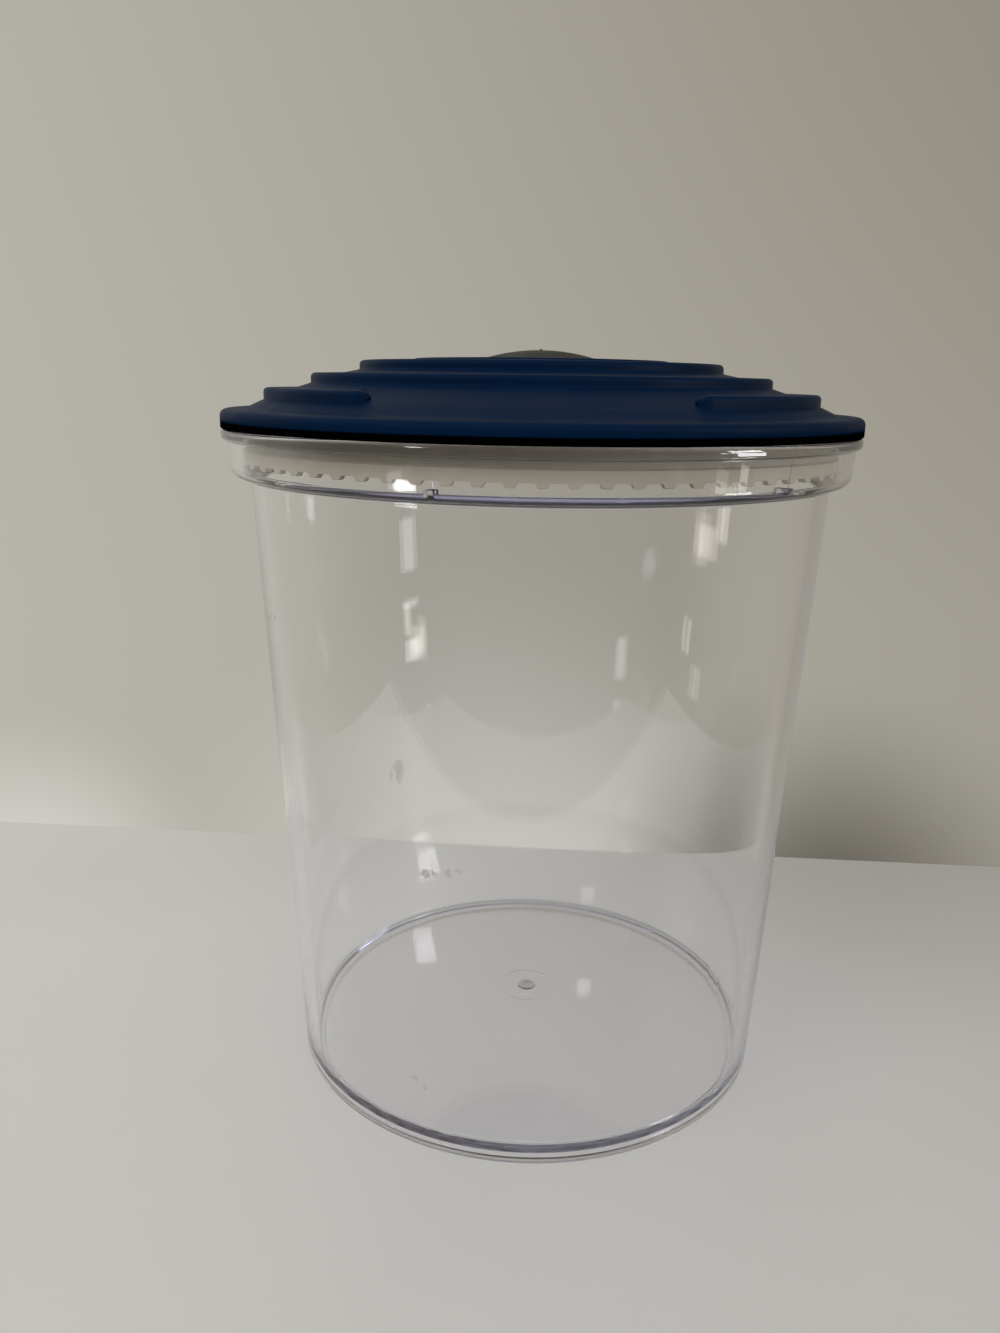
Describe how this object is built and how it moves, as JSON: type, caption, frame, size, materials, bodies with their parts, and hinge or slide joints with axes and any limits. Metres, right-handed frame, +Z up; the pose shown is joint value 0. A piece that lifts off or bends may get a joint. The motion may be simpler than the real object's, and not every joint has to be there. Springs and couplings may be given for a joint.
{
  "type": "airtight canister",
  "caption": "Round clear canister with a stepped lid, a toothed gasket and a press-to-vent button.",
  "frame": {"origin": "middle of the foot ring, on the surface that the canister stands on", "axes": "+Z up along the canister's axis, -Y towards the front, where the lid's first ring is open"},
  "size_m": [0.162, 0.162, 0.1933],
  "materials": {
    "clear_plastic": "clear, polished, with faint scuffs",
    "navy_plastic": "satin moulded",
    "gasket_rubber": "soft matte",
    "button_rubber": "soft matte",
    "valve_plastic": "plain moulded",
    "spring_steel": "bright drawn wire"
  },
  "bodies": {
    "jar": {"canister_body": "clear_plastic"},
    "lid": {"lid_shell": "navy_plastic", "lid_gasket": "gasket_rubber", "valve_spring": "spring_steel"},
    "valve": {"valve_button": "button_rubber", "valve_plunger": "valve_plastic", "valve_seal": "button_rubber", "valve_poppet": "valve_plastic", "poppet_screw": "spring_steel"}
  },
  "joints": [
    {"name": "lid_lift", "type": "slide", "parent": "jar", "child": "lid", "axis": [0, 0, 1], "range_m": [0, 0.06]},
    {"name": "button_press", "type": "slide", "parent": "lid", "child": "valve", "axis": [0, 0, -1], "range_m": [0, 0.003], "stiffness_N_per_m": 600, "springref_m": -0.002, "deforming": ["valve_spring"]}
  ]
}
